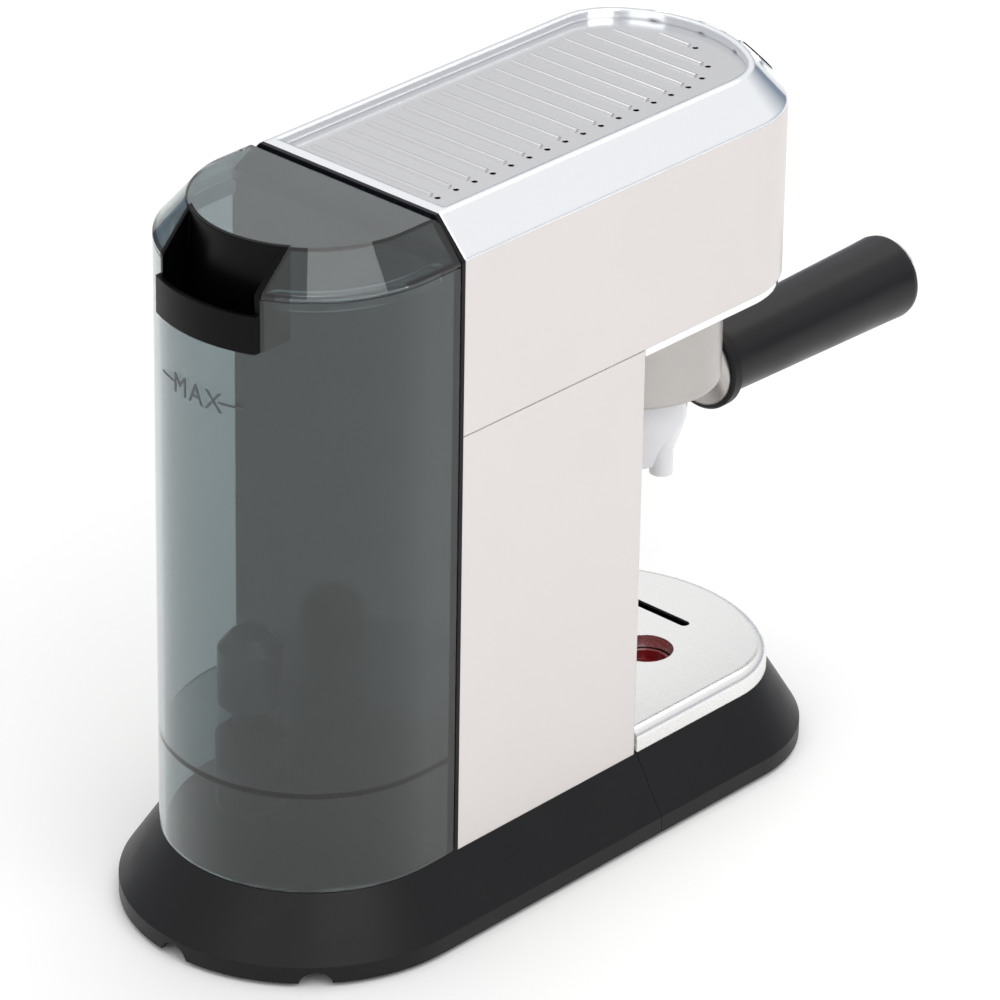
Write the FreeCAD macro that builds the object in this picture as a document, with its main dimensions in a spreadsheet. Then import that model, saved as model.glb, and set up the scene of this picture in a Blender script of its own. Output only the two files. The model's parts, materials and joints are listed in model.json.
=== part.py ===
import FreeCAD, Part
import math
import os
import re
import Sketcher

# Pump coffee machine for ground coffee or pods, as an assembly of separate parts.
#
# Frame: +Z up, the portafilter's handle points along -Y and the water tank stands at +Y. The feet rest
# on z = 0. Y positions in the sheet are counted from the machine's own zero line between column and
# tank; every sub-part is placed with frame_shift, which puts the origin under the machine's middle.
# Lengths are millimetres and angles are degrees.

V = FreeCAD.Vector
Rotation = FreeCAD.Rotation
BIG = 500

DIMS = {
    # body: outline in plan, panels and levels
    "total_height": 303, "body_half": 60, "rear_centre": 84, "front_end": -154,
    "corner_radius": 42, "front_radius": 72, "panel_rear": 63.5, "column_front": -41.5,
    "sheet_wall": 1.5, "seam_gap": 0.5, "clearance": 0.3, "seam_height": 214.5, "chamfer_bottom": 288,
    "chamfer_inset": 14, "rear_wall_thick": 2, "frame_wall": 3,
    # base
    "base_half": 74.5, "base_rear_centre": 86.5, "base_wall": 2.5, "deck_top": 33, "rim_height": 9,
    "skirt_bottom": 2, "plate_bottom": 3, "plate_thick": 2.5, "plate_inset": 4, "foot_radius": 9,
    "foot_x": 46, "foot_rear": 112, "foot_front": -122, "screw_x": 50, "screw_rear": 98,
    "screw_front": -24, "screw_radius": 1.6, "boss_radius": 5, "notch_radius": 7,
    "notch_turn": 47,
    # cup warmer
    "tray_depth": 3.4, "rim_width": 2.6, "plate_sheet": 1, "ridge_count": 18, "ridge_first": 48.4,
    "ridge_pitch": 10.2, "ridge_width": 2.8, "ridge_height": 0.8, "ridge_half": 32.6,
    "ridge_middle": 1.5, "ridge_arc_y": -93.8, "drain_radius": 1.2, "drain_gap": 3.2,
    # buttons
    "button_radius": 8.3, "ring_width": 1.4, "button_spacing": 25, "button_proud": 1.4,
    "button_travel": 1, "button_length": 5, "ring_depth": 2, "stem_radius": 2.2, "stem_length": 8,
    "board_height": 270, "board_thick": 1.6, "board_half": 38,
    # head underside and group
    "floor_height": 4, "floor_inset": 1.2, "shelf_thick": 3, "group_y": -103, "bowl_radius": 35,
    "bowl_bottom": 161, "bowl_top": 229.2, "bowl_wall": 4.5, "bowl_edge": 2, "throat": 36.5,
    "collar_outer": 43, "collar_inner": 39.6, "collar_top": 240, "flange_inner": 35.6,
    "flange_thick": 4, "lug_outer": 39, "lug_angle": 40, "lug_thick": 4, "turn_angle": 48,
    "gasket_inner": 28.4, "gasket_thick": 8, "screen_radius": 27.6, "screen_thick": 1.4,
    "heater_half": 14, "basket_radius": 28, "basket_wall": 0.8, "basket_depth": 24,
    "basket_rim": 34,
    # portafilter's spout and handle
    "spout_radius": 21.7, "spout_shoulder": 143, "spout_bottom": 125, "spout_end_radius": 16,
    "nozzle_spread": 15.5, "nozzle_radius": 4.9, "nozzle_bottom": 121.5, "nozzle_bore": 2.6,
    "handle_height": 149.5, "ring_start": 40, "ring_radius": 19, "ring_thick": 5.5,
    "grip_start": 47, "grip_length": 112, "grip_radius": 15.8, "grip_end_radius": 18.3,
    "cap_thick": 4, "neck_radius": 15,
    # water tank and lid
    "tank_front": 66.2, "tank_wall": 2.4, "tank_floor": 76.5, "tank_top": 286.2, "lid_wall": 2.2,
    "lid_inset": 12.8, "lid_lip": 6, "lip_wall": 1.7, "lip_gap": 3.2, "hinge_radius": 3.5, "grip_half": 24,
    "pocket_wall": 2, "pocket_inner": 46, "pocket_bottom": 264.5, "grip_bar_top": 280,
    "grip_bar_reach": 2.5, "valve_x": 26, "valve_y": 92, "valve_radius": 7, "valve_bore": 5,
    "valve_bottom": 60, "plunger_fit": 0.05, "socket_radius": 14, "socket_top": 66,
    "softener_radius": 13, "softener_height": 30,
    # drip tray
    "grille_top": 43, "grille_edge": 4.5, "grille_wall": 1.4, "tray_floor": 10.5,
    "tray_wall": 2.5, "plate_room": 8, "slot_half": 16.5, "slot_width": 4.6, "slot_front": -122,
    "float_x": -17, "float_y": -95, "float_hole": 11.5, "float_radius": 10.8, "float_top": 37,
    # steam side
    "knob_radius": 12, "knob_length": 12, "spindle_radius": 3, "shaft_fit": 0.05, "steam_y": -35,
    "steam_z": 250, "wand_x": 46, "wand_y": -62, "wand_radius": 3.2, "ball_radius": 6,
    "ball_z": 200, "wand_length": 95, "sleeve_radius": 6.5, "sleeve_length": 45,
    # mains switch and cord inlet
    "switch_y": 20, "switch_z": 62, "switch_half_y": 7, "switch_half_z": 11, "gland_radius": 5,
    "cord_radius": 3.4,
    # inner parts
    "pump_y": 2, "pump_radius": 12, "pump_bottom": 44, "pump_height": 84, "piston_radius": 5,
    "coil_half": 22, "coil_bottom": 70, "coil_height": 42, "bracket_thick": 4,
    "pipe_radius": 2.5, "pipe_bend": 15, "pipe_height": 258, "hose_radius": 4, "hose_z": 45,
}
DERIVED = {
    "handle_end": "group_y - grip_start - grip_length - cap_thick",
    "base_rear": "base_rear_centre + base_half",
    "frame_shift": "-(handle_end + base_rear) / 2",
}
NAMES = list(DIMS) + list(DERIVED)


def make_sheet():
    """Spreadsheet with one aliased cell for each driving dimension."""
    cells = doc.addObject("Spreadsheet::Sheet", "dims")
    rows = [(n, str(v)) for n, v in DIMS.items()] + [(n, "=" + t) for n, t in DERIVED.items()]
    for number, (name, text) in enumerate(rows, 1):
        cells.set("A%d" % number, text)
        cells.setAlias("A%d" % number, name)
    doc.recompute()
    return cells


doc = FreeCAD.newDocument("coffee_machine")
sheet = make_sheet()
size = {name: float(sheet.get(name)) for name in NAMES}
PARTS = []


class Sizes:
    """The sheet's values, read as attributes."""

    def __getattr__(self, name):
        return size[name]


s = Sizes()


def bind(text):
    """Expression text with each of the sheet's names written as dims.name."""
    return re.sub(r"[a-z_]+", lambda m: "dims." + m.group(0) if m.group(0) in size else m.group(0), text)


def value(text):
    return float(sheet.evalExpression(bind(text)))


# ---------------------------------------------------------------- making sub-parts
def place(obj, label, x="0", y="0", z="0", turn=None):
    """Names a finished sub-part and puts it in the machine's frame."""
    obj.Label = label
    if turn is not None:
        obj.Placement = FreeCAD.Placement(V(0, 0, 0), turn)
    for axis, text in zip("xyz", (x, "frame_shift + " + y, z)):
        obj.setExpression("Placement.Base." + axis, bind(text))
    PARTS.append(obj)
    return obj


def feature(label, shape):
    """A sub-part shaped with Part's own functions from the sheet's values."""
    obj = doc.addObject("Part::Feature", label)
    obj.Shape = shape.removeSplitter()
    return place(obj, label)


def sketch_on(body, points):
    """Closed sketch of straight edges on the body's XZ plane. Each point is a pair of expressions and
    each coordinate is a constraint bound to its expression."""
    sketch = body.newObject("Sketcher::SketchObject", body.Name + "_sketch")
    plane = [f for f in body.Origin.OriginFeatures if f.Role == "XZ_Plane"][0]
    sketch.AttachmentSupport = [(plane, "")]
    sketch.MapMode = "FlatFace"
    spots = [V(value(a), value(b), 0) for a, b in points]
    count = len(spots)
    for i in range(count):
        sketch.addGeometry(Part.LineSegment(spots[i], spots[(i + 1) % count]))
    for i in range(count):
        sketch.addConstraint(Sketcher.Constraint("Coincident", i, 2, (i + 1) % count, 1))
    for i in range(count):
        for kind, text, number in zip(("DistanceX", "DistanceY"), points[i], spots[i]):
            index = sketch.addConstraint(Sketcher.Constraint(kind, -1, 1, i, 1, number))
            sketch.setExpression("Constraints[%d]" % index, bind(text))
    return sketch


def turned(label, points, x="0", y="0", z="0", turn=None):
    """PartDesign body turned about its own Z axis from (radius, height) points."""
    body = doc.addObject("PartDesign::Body", label)
    sketch = sketch_on(body, points)
    revolve = body.newObject("PartDesign::Revolution", label + "_turn")
    revolve.Profile = sketch
    revolve.ReferenceAxis = (sketch, ["V_Axis"])
    revolve.Angle = 360
    sketch.Visibility = False
    body.Tip = revolve
    return place(body, label, x, y, z, turn)


def rod(radius, low, high):
    """Points of a plain round bar."""
    return [("0", low), (radius, low), (radius, high), ("0", high)]


def pipe_points(outer, inner, low, high):
    """Points of a plain tube."""
    return [(inner, low), (outer, low), (outer, high), (inner, high)]


# ---------------------------------------------------------------- shape helpers
def box(x0, x1, y0, y1, z0, z1):
    return Part.makeBox(x1 - x0, y1 - y0, z1 - z0, V(x0, y0, z0))


def cylinder(radius, x, y, z0, z1):
    return Part.makeCylinder(radius, z1 - z0, V(x, y, z0))


def side_cylinder(radius, x0, x1, y, z):
    return Part.makeCylinder(radius, x1 - x0, V(x0, y, z), V(1, 0, 0))


def plan(inset, z, half=None, rear=None):
    """Closed outline in plan, moved in by inset: straight flanks, a round rear end, two front corners
    and a shallow front arc, all tangent."""
    half = s.body_half if half is None else half
    rear = s.rear_centre if rear is None else rear
    w = half - inset
    corner = s.corner_radius + w - s.body_half
    front = s.front_radius + w - s.body_half
    cx = s.body_half - s.corner_radius
    front_y = s.front_end + s.front_radius
    corner_y = front_y - math.sqrt((s.front_radius - s.corner_radius) ** 2 - cx ** 2)
    slope = math.atan2(front_y - corner_y, cx)

    def on_corner(angle):
        return V(cx + corner * math.cos(angle), corner_y - corner * math.sin(angle), z)

    def mirror(p):
        return V(-p.x, p.y, z)

    flank_front = V(w, corner_y, z)
    flank_rear = V(w, rear, z)
    bend = on_corner(slope / 2)
    tangent = on_corner(slope)
    return Part.Wire([
        Part.LineSegment(flank_front, flank_rear).toShape(),
        Part.Arc(flank_rear, V(0, rear + w, z), mirror(flank_rear)).toShape(),
        Part.LineSegment(mirror(flank_rear), mirror(flank_front)).toShape(),
        Part.Arc(mirror(flank_front), mirror(bend), mirror(tangent)).toShape(),
        Part.Arc(mirror(tangent), V(0, front_y - front, z), tangent).toShape(),
        Part.Arc(tangent, bend, flank_front).toShape(),
    ])


def prism(inset, z0, z1, half=None, rear=None):
    """Upright block of the outline."""
    return Part.Face(plan(inset, z0, half, rear)).extrude(V(0, 0, z1 - z0))


def taper(low, high):
    return Part.makeLoft([low, high], True, True)


def cut_y(shape, y0, y1):
    """The stretch of a shape between two planes across Y."""
    return shape.common(box(-BIG, BIG, y0, y1, -BIG, BIG))


def ring_sector(outer, inner, z0, z1, middle, spread):
    """Part of a ring about the group's axis, spread degrees wide about the direction middle."""
    block = Part.makeCylinder(outer, z1 - z0, V(0, 0, z0), V(0, 0, 1), spread)
    block = block.cut(cylinder(inner, 0, 0, z0, z1))
    block.rotate(V(0, 0, 0), V(0, 0, 1), middle - spread / 2)
    block.translate(V(0, s.group_y, 0))
    return block


# ---------------------------------------------------------------- base
def base_block(inset):
    """Flared base: upright rim below, sloping up to the body's outline at the deck."""
    half, rear = s.base_half, s.base_rear_centre
    flare = taper(plan(inset, s.rim_height, half, rear), plan(inset, s.deck_top))
    return flare.fuse(prism(inset, s.skirt_bottom, s.rim_height, half, rear))


def screw_places():
    return [(sx * s.screw_x, y) for y in (s.screw_front, s.screw_rear) for sx in (-1, 1)]


def make_base():
    front = s.column_front + s.clearance
    shell = cut_y(base_block(0), front, BIG)
    room = cut_y(base_block(s.base_wall), front + s.base_wall, BIG)
    room = room.common(box(-BIG, BIG, -BIG, BIG, 0, s.deck_top - s.base_wall))
    shell = shell.cut(room)
    plate_top = s.plate_bottom + s.plate_thick
    side = s.base_half - s.base_wall
    shell = shell.cut(box(-side, side, front, front + s.base_wall, 0, plate_top))
    for x, y in screw_places():
        shell = shell.fuse(cylinder(s.boss_radius, x, y, plate_top, s.deck_top - s.base_wall))
        shell = shell.cut(cylinder(s.screw_radius, x, y, plate_top, plate_top + 10))
    for turn in (-s.notch_turn, 0, s.notch_turn):
        a = math.radians(turn)
        out = V(math.sin(a), math.cos(a), 0)
        start = V(0, s.base_rear_centre, 0) + out * (s.base_half - 9)
        shell = shell.cut(Part.makeCylinder(s.notch_radius, 20, start, out))
    feature("base_shell", shell)

    plate = prism(s.plate_inset, s.plate_bottom, plate_top, s.base_half, s.base_rear_centre)
    for x, y in screw_places():
        plate = plate.cut(cylinder(s.screw_radius, x, y, 0, plate_top))
    for turn in (-s.notch_turn, 0, s.notch_turn):
        a = math.radians(turn)
        spot = V(0, s.base_rear_centre, 0) + V(math.sin(a), math.cos(a), 0) * (s.base_half - 1)
        plate = plate.cut(cylinder(s.notch_radius + 2, spot.x, spot.y, 0, plate_top))
    feature("base_plate", plate)

    number = 0
    for y in ("foot_rear", "foot_front"):
        for side in ("-foot_x", "foot_x"):
            number += 1
            points = [("0", "0"), ("foot_radius - 1", "0"), ("foot_radius", "1"),
                      ("foot_radius", "plate_bottom"), ("0", "plate_bottom")]
            turned("foot_%d" % number, points, side, y)
    number = 0
    for y in ("screw_front", "screw_rear"):
        for side in ("-screw_x", "screw_x"):
            number += 1
            points = [("0", "plate_bottom - 1"), ("screw_radius * 2", "plate_bottom - 1"),
                      ("screw_radius * 2", "plate_bottom"), ("screw_radius", "plate_bottom"),
                      ("screw_radius", "plate_bottom + 11"), ("0", "plate_bottom + 11")]
            turned("base_screw_%d" % number, points, side, y)


def make_cord_gland():
    """Ring on the base plate, just inside the middle notch, where a mains lead would leave."""
    wall = "base_rear_centre + base_half - base_wall - notch_radius"
    points = pipe_points("gland_radius", "cord_radius", "-8", "0")
    turned("cord_gland", points, "0", wall, "plate_bottom + plate_thick + gland_radius",
           Rotation(V(1, 0, 0), -90))


# ---------------------------------------------------------------- column and head
def top_profile(y0, y1, inset, top_inset, top, wall=0):
    """Solid of the head's section between two planes: upright below, chamfered above."""
    low = s.chamfer_bottom
    block = prism(inset, s.deck_top + wall, low).fuse(taper(plan(inset, low), plan(top_inset, top)))
    return cut_y(block, y0, y1)


def make_rear_wall():
    wall = top_profile(s.panel_rear, s.panel_rear + s.rear_wall_thick, 0, s.chamfer_inset,
                       s.total_height)
    hole = Part.makeCylinder(s.hose_radius + 0.5, 20, V(s.valve_x, s.panel_rear - 5, s.hose_z),
                             V(0, 1, 0))
    feature("rear_wall", wall.cut(hole))


def make_column_panel():
    h, w = s.body_half, s.sheet_wall
    panel = box(-h, h, s.column_front, s.panel_rear, s.deck_top, s.seam_height - s.seam_gap)
    corners = [e for e in panel.Edges if abs(e.CenterOfMass.y - s.column_front) < 0.01
               and abs(abs(e.CenterOfMass.x) - h) < 0.01]
    panel = panel.makeFillet(2.5, corners)
    panel = panel.cut(box(-h + w, h - w, s.column_front + w, s.panel_rear, 0, BIG))
    slot = box(h - w, h, s.switch_y - s.switch_half_y, s.switch_y + s.switch_half_y,
               s.switch_z - s.switch_half_z, s.switch_z + s.switch_half_z)
    feature("column_panel", panel.cut(slot))


def make_head_wrap():
    wrap = prism(0, s.seam_height, s.chamfer_bottom)
    wrap = wrap.cut(prism(s.sheet_wall, s.seam_height, s.chamfer_bottom))
    wrap = cut_y(wrap, -BIG, s.panel_rear)
    shaft = side_cylinder(s.spindle_radius + s.shaft_fit, 0, BIG, s.steam_y, s.steam_z)
    wrap = wrap.cut(shaft)
    for place_ in button_places():
        wrap = wrap.cut(along(place_, s.button_radius + s.ring_width, -s.ring_depth - 1, 5))
    feature("head_wrap", wrap)


def opening_inset():
    return s.chamfer_inset + s.rim_width


def make_top_frame():
    low, top = s.chamfer_bottom, s.total_height
    under = top - s.tray_depth
    frame = taper(plan(0, low), plan(s.chamfer_inset, top))
    frame = cut_y(frame, -BIG, s.panel_rear)
    slope = s.chamfer_inset / (top - low)
    room = taper(plan(s.frame_wall, low), plan(s.frame_wall + slope * (under - low), under))
    frame = frame.cut(cut_y(room, -BIG, s.panel_rear - s.frame_wall))
    opening = prism(opening_inset(), low, top)
    frame = frame.cut(cut_y(opening, -BIG, s.panel_rear - s.frame_wall - s.rim_width))
    for place_ in button_places():
        frame = frame.cut(along(place_, s.button_radius + s.ring_width, -8, 5))
    feature("top_frame", frame)


def make_cup_plate():
    top = s.total_height - s.tray_depth
    rear = s.panel_rear - s.frame_wall - 0.5
    plate = cut_y(prism(s.chamfer_inset + 1.2, top - s.plate_sheet, top), -BIG, rear)
    for place_ in button_places():
        plate = plate.cut(along(place_, s.button_radius + s.clearance, -8, 0))
    r = (s.ridge_width ** 2 / 4 + s.ridge_height ** 2) / (2 * s.ridge_height)
    for i in range(int(s.ridge_count)):
        y = s.ridge_first - i * s.ridge_pitch
        past = max(0, s.ridge_arc_y - y)
        half = math.sqrt(max(s.ridge_half ** 2 - past ** 2, 0))
        x0, x1 = s.ridge_middle - half + s.drain_gap, s.ridge_middle + half
        bar = side_cylinder(r, x0, x1, y, top + s.ridge_height - r)
        plate = plate.fuse(bar.common(box(x0, x1, y - r, y + r, top - s.plate_sheet, top + r)))
        plate = plate.cut(cylinder(s.drain_radius, x0 - s.drain_gap, y, top - 5, top + 5))
    feature("cup_plate", plate)


def make_head_floor():
    floor = prism(s.floor_inset, s.seam_height - s.floor_height, s.seam_height)
    floor = cut_y(floor, -BIG, s.column_front)
    floor = floor.cut(cylinder(s.throat, 0, s.group_y, 0, BIG))
    floor = floor.cut(cylinder(s.wand_radius + 1, s.wand_x, s.wand_y, 0, BIG))
    feature("head_floor", floor)


def make_chassis():
    """Inner frame: floor flange, two sides, front wall, the head's shelf and its posts."""
    h = s.body_half - s.sheet_wall
    front = s.column_front + s.sheet_wall
    seam = s.seam_height
    frame = box(-h, h, front, s.panel_rear, s.deck_top, seam)
    frame = frame.cut(box(-h + 2, h - 2, front + 2, s.panel_rear, s.deck_top + 2.5, seam))
    frame = frame.cut(box(-36, 44, front + 16, s.panel_rear - 12, 0, s.deck_top + 5))
    shelf = cut_y(prism(s.sheet_wall, seam, seam + s.shelf_thick), -BIG, s.panel_rear)
    shelf = shelf.cut(cylinder(s.collar_outer, 0, s.group_y, 0, BIG))
    shelf = shelf.cut(box(-44, 44, -20, 44, 0, BIG))
    shelf = shelf.cut(cylinder(s.wand_radius + 1, s.wand_x, s.wand_y, 0, BIG))
    frame = frame.fuse(shelf)
    plate_under = s.total_height - s.tray_depth - s.plate_sheet
    for x in (-40, 40):
        frame = frame.fuse(cylinder(3.5, x, 50, seam, plate_under))
        frame = frame.fuse(cylinder(3, x / 2, -146.5, seam, s.board_height))
    frame = frame.fuse(cylinder(3.5, -40, -50, seam, plate_under))
    low = s.coil_bottom - s.bracket_thick
    bracket = box(s.valve_x - s.coil_half, s.valve_x + s.coil_half, front, s.pump_y + s.coil_half,
                  low, s.coil_bottom)
    frame = frame.fuse(bracket)
    frame = frame.cut(cylinder(s.pump_radius, s.valve_x, s.pump_y, low, s.coil_bottom))
    frame = frame.cut(box(h - 2, h, s.switch_y - s.switch_half_y, s.switch_y + s.switch_half_y,
                          s.switch_z - s.switch_half_z, s.switch_z + s.switch_half_z))
    feature("chassis", frame)


# ---------------------------------------------------------------- buttons
def button_places():
    """Middle and outward direction of each button on the chamfer of the head's front."""
    places = []
    inset = s.chamfer_inset / 2
    radius = s.front_radius - inset
    middle_y = s.front_end + s.front_radius
    rise = s.total_height - s.chamfer_bottom
    for n in (-1, 0, 1):
        x = n * s.button_spacing
        y = middle_y - math.sqrt(radius ** 2 - x ** 2)
        out = V(x, y - middle_y, 0).normalize()
        normal = (out * rise + V(0, 0, s.chamfer_inset)).normalize()
        places.append((V(x, y, (s.total_height + s.chamfer_bottom) / 2), normal))
    return places


def along(place_, radius, low, high):
    """Cylinder along a button's axis, from low to high beside the chamfer's surface."""
    spot, normal = place_
    return Part.makeCylinder(radius, high - low, spot + normal * low, normal)


def make_buttons():
    for number, place_ in enumerate(button_places(), 1):
        outer = s.button_radius + s.ring_width
        ring = along(place_, outer, -s.ring_depth, 0.7)
        ring = ring.cut(along(place_, s.button_radius + s.clearance / 2, -s.ring_depth, 0.7))
        feature("button_ring_%d" % number, ring)
        cap = along(place_, s.button_radius - s.clearance / 2, s.button_proud - s.button_length,
                    s.button_proud)
        edge = [e for e in cap.Edges if e.CenterOfMass.z > place_[0].z + 0.3
                and e.Curve.TypeId == "Part::GeomCircle"]
        cap = cap.makeFillet(0.8, edge)
        stem = along(place_, s.stem_radius, s.button_proud - s.button_length - s.stem_length,
                     s.button_proud - s.button_length)
        feature("button_%d" % number, cap.fuse(stem))


def make_control_board():
    top = s.board_height + s.board_thick
    board = cut_y(prism(5, s.board_height, top), -BIG, s.group_y - 10)
    board = board.common(box(-s.board_half, s.board_half, -BIG, BIG, 0, BIG))
    for place_ in button_places():
        low = s.button_proud - s.button_length - s.stem_length - s.button_travel - s.clearance
        switch = along(place_, 3, low - 28, low)
        board = board.fuse(switch.common(box(-BIG, BIG, -BIG, BIG, s.board_height, BIG)))
    feature("control_board", board)


# ---------------------------------------------------------------- group and portafilter
def make_group():
    seam = s.seam_height
    flange_top = seam + s.flange_thick
    collar = cylinder(s.collar_outer, 0, s.group_y, seam, s.collar_top)
    collar = collar.cut(cylinder(s.collar_inner, 0, s.group_y, flange_top, s.collar_top))
    collar = collar.cut(cylinder(s.flange_inner, 0, s.group_y, seam, flange_top))
    for side in (0, 180):
        gap = ring_sector(s.collar_inner, s.flange_inner - 1, seam, flange_top,
                          side - s.turn_angle, s.lug_angle + 6)
        collar = collar.cut(gap)
    rim = cylinder(s.collar_outer + 1.5, 0, s.group_y, seam + s.shelf_thick, seam + s.shelf_thick + 3)
    collar = collar.fuse(rim.cut(cylinder(s.collar_outer - 1, 0, s.group_y, 0, BIG)))
    feature("group_collar", collar)

    seat = "bowl_top + basket_wall + clearance"
    turned("group_gasket", pipe_points("collar_inner", "gasket_inner", seat, "collar_top"),
           y="group_y")
    heater_low = "collar_top"
    turned("thermoblock_lower", [
        ("0", "bowl_top + 4"), ("gasket_inner", "bowl_top + 4"), ("gasket_inner", heater_low),
        ("collar_outer", heater_low), ("collar_outer", "collar_top + heater_half"),
        ("0", "collar_top + heater_half")], y="group_y")
    turned("thermoblock_upper", [
        ("0", "collar_top + heater_half"), ("collar_outer - 2", "collar_top + heater_half"),
        ("collar_outer - 2", "collar_top + heater_half * 1.8"),
        ("0", "collar_top + heater_half * 1.8")], y="group_y")
    turned("shower_screen", rod("screen_radius", "bowl_top + 4 - screen_thick", "bowl_top + 4"),
           y="group_y")


def make_filter_bowl():
    r, low, top = s.bowl_radius, s.bowl_bottom, s.bowl_top
    bowl = cylinder(r, 0, s.group_y, low, top)
    foot = [e for e in bowl.Edges if abs(e.CenterOfMass.z - low) < 0.01]
    bowl = bowl.makeFillet(s.bowl_edge, foot)
    neck_y = s.group_y - s.ring_start
    low_circle = Part.Wire(Part.makeCircle(s.ring_radius - 2, V(0, neck_y, s.handle_height),
                                           V(0, -1, 0)))
    high_circle = Part.Wire(Part.makeCircle(s.neck_radius - 2, V(0, s.group_y - r + 8, low + 15),
                                            V(0, -1, 0)))
    bowl = bowl.fuse(Part.makeLoft([high_circle, low_circle], True, True))
    bowl = bowl.cut(cylinder(r - s.bowl_wall, 0, s.group_y, low + 4, top))
    bowl = bowl.cut(cylinder(6, 0, s.group_y, low - 1, low + 6))
    lug_low = s.seam_height + s.flange_thick + s.clearance
    for side in (0, 180):
        bowl = bowl.fuse(ring_sector(s.lug_outer, r - 1, lug_low, lug_low + s.lug_thick, side,
                                     s.lug_angle))
    feature("filter_bowl", bowl)


def make_portafilter():
    make_filter_bowl()
    turned("filter_basket", [
        ("0", "bowl_top - basket_depth"), ("basket_radius - 3", "bowl_top - basket_depth"),
        ("basket_radius", "bowl_top - basket_depth + 3"), ("basket_radius", "bowl_top"),
        ("basket_rim", "bowl_top"), ("basket_rim", "bowl_top + basket_wall"),
        ("basket_radius - basket_wall", "bowl_top + basket_wall"),
        ("basket_radius - basket_wall", "bowl_top - basket_depth + 3 + basket_wall / 2"),
        ("basket_radius - 3 - basket_wall / 2", "bowl_top - basket_depth + basket_wall"),
        ("0", "bowl_top - basket_depth + basket_wall")], y="group_y")
    low, shoulder = s.spout_bottom, s.spout_shoulder
    y = s.group_y
    spout = cylinder(s.spout_radius, 0, y, shoulder, s.bowl_bottom)
    lower = Part.makeCone(s.spout_end_radius, s.spout_radius, shoulder - low, V(0, y, low))
    spout = spout.fuse(lower)
    for x in (-s.nozzle_spread, s.nozzle_spread):
        spout = spout.fuse(cylinder(s.nozzle_radius, x, y, s.nozzle_bottom, shoulder))
    for x in (-s.nozzle_spread, s.nozzle_spread):
        spout = spout.cut(cylinder(s.nozzle_bore, x, y, s.nozzle_bottom, shoulder + 4))
    spout = spout.cut(cylinder(s.spout_radius - 2.5, 0, y, shoulder + 3, s.bowl_bottom))
    feature("spout", spout)

    forward = Rotation(V(1, 0, 0), 90)
    start = "ring_start"
    turned("handle_ring", [
        ("0", start), ("ring_radius - 1", start), ("ring_radius", start + " + 1"),
        ("ring_radius", start + " + ring_thick"), ("grip_radius", "grip_start"),
        ("0", "grip_start")], "0", "group_y", "handle_height", forward)
    end = "grip_start + grip_length"
    turned("handle_grip", [
        ("0", "grip_start"), ("grip_radius", "grip_start"),
        ("grip_end_radius - 0.3", end + " - 10"), ("grip_end_radius", end + " - 2"),
        ("grip_end_radius - 0.4", end), ("0", end)], "0", "group_y", "handle_height", forward)
    turned("handle_cap", [
        ("0", end), ("grip_end_radius - 0.6", end), ("grip_end_radius - 1.4", end + " + 1.8"),
        ("grip_end_radius - 4.5", end + " + cap_thick"), ("0", end + " + cap_thick")],
        "0", "group_y", "handle_height", forward)


# ---------------------------------------------------------------- water tank
def pocket_block(side, z0, inner):
    """Room that the finger pocket takes out of the tank and its lid."""
    block = box(-side, side, s.rear_centre + 10, BIG, z0, BIG)
    return block.cut(cylinder(inner, 0, s.rear_centre, 0, BIG))


def make_tank_shell():
    wall = s.tank_wall
    bottom = s.deck_top + s.clearance
    shell = cut_y(prism(0, bottom, s.tank_top), s.tank_front, BIG)
    room = cut_y(prism(wall, s.tank_floor, BIG), s.tank_front + wall, BIG)
    skirt = cut_y(prism(wall, 0, s.tank_floor - wall), s.tank_front + wall, BIG)
    shell = shell.cut(room).cut(skirt)
    shell = shell.cut(cylinder(s.valve_radius, s.valve_x, s.valve_y, 0, BIG))
    hose = box(s.valve_x - 7, s.valve_x + 7, s.tank_front - 1, s.tank_front + wall + 1, 0,
               s.hose_z + 7)
    shell = shell.cut(hose)
    shell = shell.cut(pocket_block(s.grip_half + s.pocket_wall, s.pocket_bottom, s.pocket_inner))
    feature("tank_shell", shell)


def make_tank_handle():
    """Black finger pocket: floor, back wall, two sides and the bar across the front."""
    low, wall = s.pocket_bottom, s.pocket_wall
    outer = s.grip_half + wall
    bar = cylinder(s.body_half + s.grip_bar_reach, 0, s.rear_centre, low, s.grip_bar_top)
    slope_low = cylinder(s.body_half, 0, s.rear_centre, low, s.chamfer_bottom)
    slope = Part.makeCone(s.body_half, s.body_half - s.lid_inset,
                          s.total_height - s.chamfer_bottom,
                          V(0, s.rear_centre, s.chamfer_bottom))
    block = bar.fuse(slope_low).fuse(slope).common(pocket_block(outer, low, s.pocket_inner))
    fingers = cylinder(s.body_half + s.grip_bar_reach - wall, 0, s.rear_centre, low + wall, BIG)
    fingers = fingers.common(pocket_block(s.grip_half, low + wall, s.pocket_inner + 1.5))
    above = box(-s.grip_half, s.grip_half, s.rear_centre + 30, BIG, s.grip_bar_top, BIG)
    above = above.cut(cylinder(s.pocket_inner + 1.5, 0, s.rear_centre, 0, BIG))
    feature("tank_handle", block.cut(fingers).cut(above))


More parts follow.
